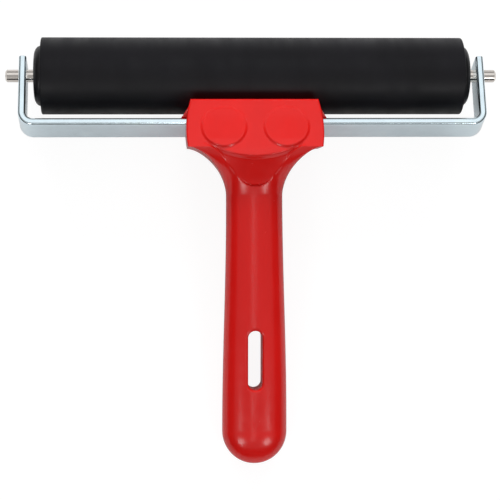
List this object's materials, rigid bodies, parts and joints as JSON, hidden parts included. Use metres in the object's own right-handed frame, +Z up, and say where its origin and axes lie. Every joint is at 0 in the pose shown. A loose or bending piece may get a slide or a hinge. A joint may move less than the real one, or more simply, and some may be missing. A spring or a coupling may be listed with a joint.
{
  "type": "rubber brayer",
  "caption": "Hand ink roller: a hard rubber roller on ball bearings in a bent flat-strip frame, with a moulded T-shaped handle that has a hanging slot.",
  "frame": {"origin": "middle of the overall box, on the table plane that the roller and the handle's end rest on", "axes": "+X along the roller, +Y from the handle towards the roller, +Z up from the table"},
  "size_m": [0.234, 0.2024, 0.0483],
  "materials": {
    "red_plastic": "glossy injection-moulded red plastic",
    "zinc_plate": "bright zinc-plated flat steel strip, faint bluish tone",
    "axle_steel": "bright drawn steel bar",
    "screw_steel": "plated steel",
    "bearing_steel": "ground bearing steel",
    "ball_steel": "polished bearing balls",
    "cage_steel": "pressed steel cage",
    "black_rubber": "matte ground black rubber",
    "tube_aluminium": "drawn aluminium tube",
    "black_plastic": "black moulded plastic"
  },
  "bodies": {
    "frame": {"handle": "red_plastic", "rear_clamp_plate": "red_plastic", "clamp_screws": "screw_steel", "frame_strip": "zinc_plate", "axle": "axle_steel", "retaining_ring_left": "screw_steel", "retaining_ring_right": "screw_steel", "bearing_inner_ring_left": "bearing_steel", "bearing_inner_ring_right": "bearing_steel"},
    "roller": {"rubber_cover": "black_rubber", "core_tube": "tube_aluminium", "end_cap_left": "black_plastic", "end_cap_right": "black_plastic", "bearing_outer_ring_left": "bearing_steel", "bearing_outer_ring_right": "bearing_steel", "bearing_shields_left": "bearing_steel", "bearing_shields_right": "bearing_steel"},
    "ball_set_left": {"bearing_balls_left": "ball_steel", "bearing_cage_left": "cage_steel"},
    "ball_set_right": {"bearing_balls_right": "ball_steel", "bearing_cage_right": "cage_steel"}
  },
  "joints": [
    {"name": "roller_spin", "type": "hinge", "parent": "frame", "child": "roller", "pos_m": [0, 0.08291, 0.01825], "axis": [1, 0, 0], "continuous": true},
    {"name": "ball_orbit_left", "type": "hinge", "parent": "frame", "child": "ball_set_left", "pos_m": [-0.0992, 0.08291, 0.01825], "axis": [1, 0, 0], "continuous": true},
    {"name": "ball_orbit_right", "type": "hinge", "parent": "frame", "child": "ball_set_right", "pos_m": [0.0992, 0.08291, 0.01825], "axis": [1, 0, 0], "continuous": true}
  ],
  "couplings": [
    {"joint": "ball_orbit_left", "follows": "roller_spin", "ratio": 0.64},
    {"joint": "ball_orbit_right", "follows": "roller_spin", "ratio": 0.64}
  ]
}
